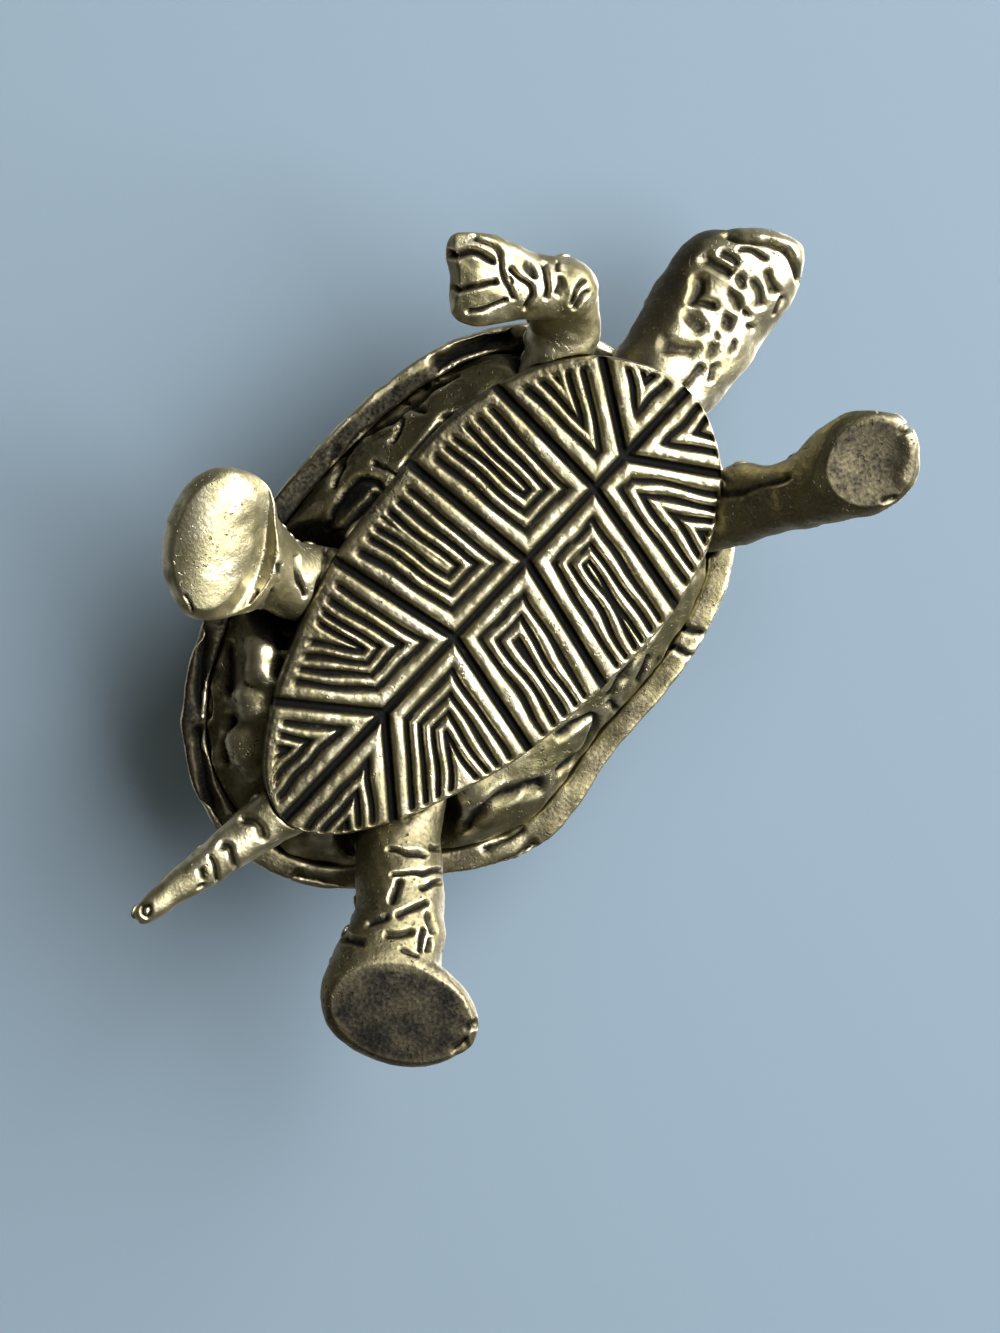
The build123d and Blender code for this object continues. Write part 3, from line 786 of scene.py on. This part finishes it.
# legs and tail; hips in plan, in millimetres
hips = {
    "frontRight": (-6.79, -15.05),
    "frontLeft": (7.705, -13.453),
    "hindRight": (-8.093, 7.15),
    "hindLeft": (6.904, 13.947),
}
limbScales = {"spacing": 0.00105, "size": 0.00046, "foremost": -1.0}
limbRelief = [(0.05, 2.6, 0), (0.012, 1.1, 50)]  # seeds count from the limb's own
# a sole has its middle, heading in degrees and half sizes; heel says from and to along foot and leg, from its middle
frontRight = {
    "seed": 31,
    "baseDarkening": 0.0,
    "baseWear": 0.15,
    "scales": limbScales | {"lowest": 0.0045, "seed": 72},
    "voxel": 0.1,
    "pulls": [((452, 246), 42, -0.6, 0.3)],
    "marks": [
        ([(450, 254), (470, 251), (493, 260)], 8, 0.5),
        ([(455, 288), (476, 285), (497, 281)], 6, 0.45),
        ([(468, 313), (486, 308), (504, 301)], 6, 0.45),
        ([(476, 237), (496, 246), (502, 261), (504, 276), (514, 298)], 6, 0.3),
        ([(513, 270), (525, 281), (531, 294), (526, 308)], 6, 0.35),
        ([(527, 263), (535, 278)], 6, 0.3),
        ([(545, 265), (548, 281), (545, 297)], 6, 0.35),
        ([(557, 262), (558, 269)], 4, 0.2),
        ([(561, 277), (562, 286), (558, 295)], 5, 0.3),
        ([(583, 279), (571, 303)], 5, 0.3),
        ([(586, 293), (574, 309)], 5, 0.3),
        ([(511, 277), (512, 283)], 4, 0.2),
    ],
}
frontLeft = {
    "seed": 32,
    "baseDarkening": 0.3,
    "baseWear": 0.0,
    "scales": limbScales | {"lowest": 0.0022, "seed": 73},
    "voxel": 0.1,
    "sole": {
        "middle": (10.905, -21.353), "heading": -80, "half": (3.3, 3.1), "hip": hips["frontLeft"],
        "heel": (-0.5, 3.4, 4.6, 6.2), "heelEnd": 9.0, "melt": 300,
        "across": 0.1, "along": 0.1, "cup": 0.3, "ridge": 0.0, "dirt_and_shade": 0.67,
    },
    "pulls": [((785, 450), 55, 0.1, -1.1)],
    "marks": [
        ([(709, 477), (726, 493), (763, 484), (788, 477)], 10, 0.22),
        ([(890, 407), (907, 424), (909, 448), (903, 478)], 18, -0.12),
        ([(880, 404), (881, 408)], 7, 0.4),
        ([(908, 427), (903, 430)], 8, 0.4),
        ([(884, 501), (894, 498)], 6, 0.3),
    ],
}
hindRight = {
    "seed": 33,
    "baseDarkening": 0.0,
    "baseWear": 0.35,
    "scales": limbScales | {"lowest": 0.0022, "seed": 74},
    "voxel": 0.1,
    "sole": {
        "middle": (-14.193, 8.65), "heading": 58, "half": (4.6, 2.8), "hip": hips["hindRight"],
        "heel": (0.0, 3.0, 3.8, 5.2), "heelEnd": 9.0, "melt": 300,
        "across": 1.2, "along": 0.35, "cup": 0.0, "ridge": 0.3, "dirt_and_shade": 0.0,
    },
    "pulls": [((255, 488), 48, 0.6, 0.3)],
    "marks": [
        ([(327, 544), (327, 565), (320, 590), (303, 622)], 8, 0.4),
        ([(258, 592), (250, 603)], 5, 0.25),
        ([(273, 591), (266, 604)], 5, 0.25),
        ([(279, 565), (280, 576)], 5, 0.2),
        ([(297, 557), (299, 578), (304, 596)], 5, 0.3),
        ([(186, 596), (192, 610)], 4, 0.2),
    ],
}
hindLeft = {
    "seed": 34,
    "baseDarkening": 0.32,
    "baseWear": 0.0,
    "scales": limbScales | {"lowest": 0.0022, "seed": 75},
    "voxel": 0.1,
    "sole": {
        "middle": (13.004, 21.447), "heading": -26, "half": (4.9, 3.15), "hip": hips["hindLeft"],
        "heel": (0.5, 3.4, 4.2, 6.4), "heelEnd": 0.6, "melt": 160,
        "across": 0.1, "along": 0.08, "cup": 0.0, "ridge": 0.0, "dirt_and_shade": 0.78,
    },
    "pulls": [((345, 915), 40, 0.5, 0.0)],
    "marks": [
        ([(478, 1022), (468, 1027)], 8, 0.4),
        ([(466, 1044), (456, 1049)], 8, 0.4),
        ([(388, 850), (407, 852), (425, 855)], 6, 0.35),
        ([(431, 847), (448, 853)], 6, 0.3),
        ([(392, 874), (415, 874), (443, 870)], 5, 0.35),
        ([(400, 883), (392, 901)], 8, 0.35),
        ([(422, 887), (438, 883)], 6, 0.3),
        ([(400, 915), (412, 909), (427, 904)], 7, 0.35),
        ([(370, 924), (385, 919)], 8, 0.3),
        ([(386, 935), (411, 933)], 8, 0.35),
        ([(428, 915), (433, 931)], 6, 0.3),
        ([(423, 928), (421, 949)], 6, 0.3),
        ([(431, 940), (429, 951)], 5, 0.25),
        ([(403, 950), (415, 954)], 5, 0.2),
        ([(345, 939), (361, 943)], 9, 0.3),
    ],
}
tail = {
    "seed": 35,
    "baseDarkening": 0.0,
    "baseWear": 0.35,
    "scales": limbScales | {"lowest": 0.004, "seed": 76},
    "voxel": 0.09,
    "marks": [
        ([(244, 818), (257, 824), (263, 837)], 10, 0.35),
        ([(222, 845), (232, 851), (235, 865)], 8, 0.3),
        ([(212, 858), (216, 868), (219, 880)], 6, 0.28),
        ([(201, 873), (203, 878)], 7, 0.2),
        ([(199, 887), (203, 885)], 5, 0.15),
        ([(143, 907), (149, 905), (151, 911), (147, 917), (142, 913), (143, 907)], 4, 0.2),
    ],
}


def crownSole(work, sole):
    # the sole curves up towards its long edges, as on a padded foot, and gets painted shade on its flat middle
    heading = math.radians(sole["heading"])
    away = work.points[:, :2] - np.array(sole["middle"])
    along = (away @ np.array([math.cos(heading), math.sin(heading)])) / sole["half"][0]
    across = (away @ np.array([-math.sin(heading), math.cos(heading)])) / sole["half"][1]
    reach = np.hypot(along, across)
    low = 1 - smoothStep(0.0, footLook["crownTop"], work.points[:, 2])
    inside = 1 - smoothStep(*footLook["crownEdge"], reach)
    lift = sole["across"] * (across - sole["ridge"]) ** 2 + sole["along"] * along ** 2
    lift += sole["cup"] * (1 - smoothStep(*footLook["cupEdge"], reach))
    work.points[:, 2] += low * inside * lift
    flat = (1 - smoothStep(*footLook["soleEdge"], reach)) * smoothStep(*footLook["soleFacing"], -work.normals[:, 2])
    work.dirt_and_shade = np.maximum(work.dirt_and_shade, sole["dirt_and_shade"] * flat)
    work.refresh()


def makeLimb(name, node, settings):
    work = Work(fineMesh(node, settings["voxel"], settings.get("sole")))
    work.soften(softRounds)
    if "sole" in settings:
        work.melt(settings["sole"]["melt"], footLook["regrow"])
        work.points[:, 2] = np.maximum(work.points[:, 2], 0.0)
        crownSole(work, settings["sole"])
    work.pull(settings.get("pulls", []))
    relief = [(height, scale, seed + settings["seed"]) for height, scale, seed in limbRelief]
    work.press(unevenness(work.points, relief) * smoothStep(0.15, 0.6, work.points[:, 2]))  # soles stay flat
    work.photoMarks(settings["marks"])
    work.points[:, 2] = np.maximum(work.points[:, 2], 0.0)
    work.refresh()
    work.readHollows(*limbHollows)
    # the whole limb is darkened by a set amount
    work.dirt_and_shade = np.maximum(work.dirt_and_shade, settings["baseDarkening"])
    work.wear_and_light = np.maximum(work.wear_and_light, settings["baseWear"])
    finishPiece(name, node, work, antiqueBrass, settings["scales"])


makeLimb("frontRightLeg", "front_right_leg", frontRight)
makeLimb("frontLeftLeg", "front_left_leg", frontLeft)
makeLimb("hindRightLeg", "hind_right_leg", hindRight)
makeLimb("hindLeftLeg", "hind_left_leg", hindLeft)
makeLimb("tailPiece", "tail", tail)
print("stage: limbs")

# the rim stands out further beside the hind left leg
flangePulls = [((538, 838), 135, 1.0, -1.3)]
# creases, folds, lumps and one broad darkened patch that run over the edge of the body and the rim of the shell
flangeMarks = [
    ([(328, 522), (346, 500), (366, 484)], 30, 0.12),
    ([(333, 485), (355, 441), (396, 417), (428, 391), (457, 373)], 6, 0.35),
    ([(442, 417), (466, 411), (485, 404), (503, 384)], 7, 0.35),
    ([(444, 363), (470, 350), (503, 334)], 24, 0.7),
    ([(712, 553), (690, 560), (668, 596), (653, 631), (610, 696)], 7, 0.35),
    ([(203, 634), (202, 680), (205, 715)], 12, 0.6),
    ([(200, 734), (206, 790), (218, 830)], 12, 0.6),
    ([(283, 638), (285, 655), (282, 673)], 14, 0.8),
    ([(256, 652), (260, 674)], 28, -0.5),
    ([(246, 695), (250, 708)], 24, -0.45),
    ([(236, 738), (240, 756)], 26, -0.45),
    ([(228, 650), (226, 690)], 14, 0.4),
    ([(230, 720), (226, 760)], 12, 0.4),
    ([(466, 828), (500, 799), (540, 785)], 14, 0.5),
    ([(485, 850), (520, 830)], 8, 0.35),
    ([(500, 868), (535, 845)], 8, 0.35),
    ([(300, 882), (330, 892), (360, 900)], 18, 0.6),
]
body = {
    "voxel": 0.19,
    "melt": 30,
    "relief": [(0.07, 2.4, 41), (0.02, 1.2, 42)],
    "hipHeight": 7.5,
    "hipReach": (3.8, 4.3),
    "hipDirtAndShade": 0.85,
    "dirt_and_shade": 0.1,
    "rightShade": 0.15,
    "hollows": (10, 0.11, 0.09),
    "marks": [
        ([(442, 424), (418, 450), (398, 474)], 6, 0.4),
        ([(402, 480), (388, 470), (375, 459)], 6, 0.35),
        ([(385, 491), (374, 482), (359, 478), (344, 491), (333, 511), (326, 530)], 8, 0.4),
        ([(376, 495), (355, 515), (333, 537)], 10, 0.4),
        ([(403, 419), (392, 441)], 6, 0.3),
        ([(403, 400), (424, 411)], 7, 0.3),
        ([(411, 376), (426, 386)], 7, 0.3),
        ([(420, 369), (437, 378)], 7, 0.3),
        ([(649, 657), (638, 681)], 6, 0.3),
        ([(662, 661), (649, 683)], 7, 0.3),
        ([(611, 703), (627, 720)], 7, 0.35),
        ([(592, 746), (618, 733)], 7, 0.3),
        ([(560, 735), (592, 716), (597, 727), (586, 748), (560, 770)], 8, 0.35),
    ],
}


def makeBody():
    work = Work(fineMesh("body", body["voxel"]))
    work.soften(softRounds)
    work.melt(body["melt"], 0.0)
    work.pull(flangePulls)
    work.press(unevenness(work.points, body["relief"]))
    work.photoMarks(flangeMarks + body["marks"])
    work.readHollows(*body["hollows"])
    # dark patina and painted shade sit in the pockets round the legs; the whole body is a little darker, and painted
    # shade makes the right side duller
    for hip in hips.values():
        away = np.linalg.norm(work.points - np.array((*hip, body["hipHeight"])), axis=1)
        work.dirt_and_shade = np.maximum(work.dirt_and_shade, body["hipDirtAndShade"] * (1 - smoothStep(*body["hipReach"], away)))
    right = smoothStep(2.0, -4.0, work.points[:, 0])
    work.dirt_and_shade = np.maximum(work.dirt_and_shade, body["dirt_and_shade"] + body["rightShade"] * right)
    finishPiece("innerBody", "body", work, paintedShadeBrass)


makeBody()
print("stage: body")

# back shell: scutes in plan around seed points, with rings like those of the belly plate
shell = {
    "voxel": 0.19,
    "relief": [(0.05, 2.6, 52)],
    "wobble": [(0.08, 4.0, 51)],
    "planPower": 2.4,
    "spine": [-0.78, -0.42, -0.02, 0.38, 0.74],
    "sideRow": 0.62,
    "side": [-0.66, -0.24, 0.2, 0.6],
    "edgeBand": 0.87,
    "edgeScutes": 24,
    "seamDepth": 0.32,
    "ringDepth": 0.14,
    "rings": [(0.75, 0.22), (1.35, 0.2), (1.95, 0.18)],
    "ringGrime": 0.7,
    "underShade": 0.4,
    "rightShade": 0.35,
    "rimFrom": 0.985,
    "hollows": (8, 0.1, 0.1),
    "marks": [
        ([(337, 448), (335, 471)], 7, 0.3),
        ([(389, 417), (361, 434)], 6, 0.3),
        ([(681, 627), (701, 633)], 6, 0.3),
        ([(671, 646), (690, 657)], 6, 0.3),
    ],
}


def makeShell():
    work = Work(fineMesh("carapace", shell["voxel"]))
    work.soften(softRounds)
    low, high = [np.array(v) * 1000 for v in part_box("carapace")]
    middle = (low + high) / 2
    half = (high - low) / 2
    flat = (work.points - middle) / half
    top = smoothStep(0.05, 0.3, work.normals[:, 2]) * smoothStep(low[2] + 0.5, low[2] + 1.0, work.points[:, 2])
    seeds = [(0.0, v) for v in shell["spine"]]
    seeds += [(side * shell["sideRow"], v) for v in shell["side"] for side in (-1, 1)]
    seeds = np.array(seeds) * half[:2]
    gaps = np.linalg.norm((work.points - middle)[:, None, :2] - seeds[None], axis=2)
    order = np.sort(gaps, axis=1)
    near = (order[:, 1] - order[:, 0]) * 0.5  # distance from the nearest seam
    power = shell["planPower"]
    reach = (np.abs(flat[:, 0]) ** power + np.abs(flat[:, 1]) ** power) ** (1 / power)
    band = (reach - shell["edgeBand"]) * half[0]
    angle = np.arctan2(flat[:, 1], flat[:, 0]) / (2 * math.pi) * shell["edgeScutes"]
    seamGap = np.abs(angle - np.round(angle)) * (2 * math.pi / shell["edgeScutes"]) * half[1] * 0.8
    near = np.where(band > 0, np.minimum(band, seamGap), np.minimum(near, -band))
    near = near + unevenness(work.points, shell["wobble"])
    cut = shell["seamDepth"] * (1 - smoothStep(0.12, 0.42, near))
    dirt = 1 - smoothStep(0.12, 0.4, near)
    for place, width in shell["rings"]:
        ring = (1 - smoothStep(0.3 * width, 0.9 * width, np.abs(near - place))) * (band < 0)
        cut = np.maximum(cut, shell["ringDepth"] * ring)
        dirt = np.maximum(dirt, shell["ringGrime"] * ring)
    work.press(-cut * top + unevenness(work.points, shell["relief"]))
    work.dirt_and_shade = dirt * top
    work.pull(flangePulls)
    # painted shade under the overhang of the shell and on its right side, but not on the rim's edge
    under = smoothStep(0.3, 0.7, -work.normals[:, 2])
    rim = smoothStep(shell["rimFrom"], 1.0, reach)
    shade = shell["underShade"] + shell["rightShade"] * smoothStep(2.0, -6.0, work.points[:, 0])
    work.dirt_and_shade = np.maximum(work.dirt_and_shade, shade * under * (1 - rim))
    work.photoMarks(flangeMarks + shell["marks"])
    work.readHollows(*shell["hollows"])
    finishPiece("backShell", "carapace", work, antiqueBrass)


makeShell()
print("stage: back shell")

# stage: a table top that the turtle lies on in the photo, seen only from below, and a floor seen only from above
stageLook = {
    "table": (0.148, 0.198, 0.252, 1),
    "floor": (0.5, 0.56, 0.62, 1),
    "tableHeight": 0.01935,
    "floorHeight": -0.00002,
    "half": 1.2,
}


def stagePlane(name, height, colour, faceDown):
    half = stageLook["half"]
    corners = [(-half, -half, height), (half, -half, height), (half, half, height), (-half, half, height)]
    mesh = bpy.data.meshes.new(name)
    mesh.from_pydata(corners, [], [(3, 2, 1, 0) if faceDown else (0, 1, 2, 3)])
    material = bpy.data.materials.new(name)
    material.use_nodes = True
    tree = material.node_tree
    tree.nodes.clear()
    outside = tree.nodes.new("ShaderNodeOutputMaterial")
    surface = tree.nodes.new("ShaderNodeBsdfDiffuse")
    surface.inputs["Color"].default_value = colour
    clear = tree.nodes.new("ShaderNodeBsdfTransparent")
    side = tree.nodes.new("ShaderNodeNewGeometry")
    mix = tree.nodes.new("ShaderNodeMixShader")
    tree.links.new(side.outputs["Backfacing"], mix.inputs[0])
    tree.links.new(surface.outputs[0], mix.inputs[1])
    tree.links.new(clear.outputs[0], mix.inputs[2])
    tree.links.new(mix.outputs[0], outside.inputs["Surface"])
    mesh.materials.append(material)
    plane = bpy.data.objects.new(name, mesh)
    bpy.context.scene.collection.objects.link(plane)
    plane.visible_shadow = False
    plane.visible_glossy = False
    plane.visible_diffuse = False
    plane.visible_transmission = False


stagePlane("tableTop", stageLook["tableHeight"], stageLook["table"], True)
stagePlane("floor", stageLook["floorHeight"], stageLook["floor"], False)

# way from the turtle to the lamp, distance in metres, power in watts
lamps = {
    "window": {
        "way": photoRight * 0.8 + photoUp * 0.27 - photoAhead * 0.53,
        "distance": 0.5,
        "size": (0.7, 0.7),
        "power": 14.0,
        "colour": (1.0, 0.99, 0.96),
        "mirrored": True,
    },
    "tableFill": {
        "way": -photoAhead,
        "distance": 0.6,
        "size": (1.0, 1.0),
        "power": 1.9,
        "colour": (1.0, 0.92, 0.74),
        "mirrored": False,
    },
    "studio": {
        "way": Vector((0.5, -0.55, 0.9)),
        "distance": 0.6,
        "size": (0.4, 0.4),
        "power": 2.6,
        "colour": (1.0, 0.98, 0.95),
        "mirrored": True,
    },
}
lampAim = Vector((0.0, 0.0, 0.01))


def areaLamp(name, settings):
    lamp = bpy.data.lights.new(name, "AREA")
    lamp.shape = "RECTANGLE"
    lamp.size, lamp.size_y = settings["size"]
    lamp.energy = settings["power"]
    lamp.color = settings["colour"]
    holder = bpy.data.objects.new(name, lamp)
    way = settings["way"].normalized()
    holder.location = lampAim + way * settings["distance"]
    holder.rotation_mode = "QUATERNION"
    holder.rotation_quaternion = way.to_track_quat("Z", "Y")
    holder.visible_glossy = settings["mirrored"]
    bpy.context.scene.collection.objects.link(holder)


for lampName, lampSettings in lamps.items():
    areaLamp(lampName, lampSettings)

# a room that is dark below and light above
room = {"below": (0.055, 0.051, 0.04, 1), "above": (0.36, 0.38, 0.4, 1), "aboveFrom": 0.7}
world = bpy.data.worlds.new("room")
bpy.context.scene.world = world
world.use_nodes = True
sky = world.node_tree
sky.nodes.clear()
skyOut = sky.nodes.new("ShaderNodeOutputWorld")
skyLight = sky.nodes.new("ShaderNodeBackground")
skyWay = sky.nodes.new("ShaderNodeTexCoord").outputs["Generated"]
skySplit = sky.nodes.new("ShaderNodeSeparateXYZ")
sky.links.new(skyWay, skySplit.inputs[0])
skyShare = rangeNode(sky, skySplit.outputs["Z"], 0.0, room["aboveFrom"])
sky.links.new(mixColour(sky, skyShare, room["below"], room["above"]), skyLight.inputs["Color"])
skyLight.inputs["Strength"].default_value = 1.0
sky.links.new(skyLight.outputs[0], skyOut.inputs["Surface"])

lens = bpy.data.cameras.new("photoCamera")
lens.lens = photoView["lens"]
lens.sensor_width = photoView["sensor"]
lens.clip_start = 0.005
lens.clip_end = 10.0
camera = bpy.data.objects.new("photoCamera", lens)
seat = Matrix((photoRight, photoUp, -photoAhead)).transposed().to_4x4()
seat.translation = photoPlace * 0.001
camera.matrix_world = seat
bpy.context.scene.collection.objects.link(camera)
bpy.context.scene.camera = camera
bpy.context.scene.view_settings.view_transform = "Standard"
print("stage: lights and camera")
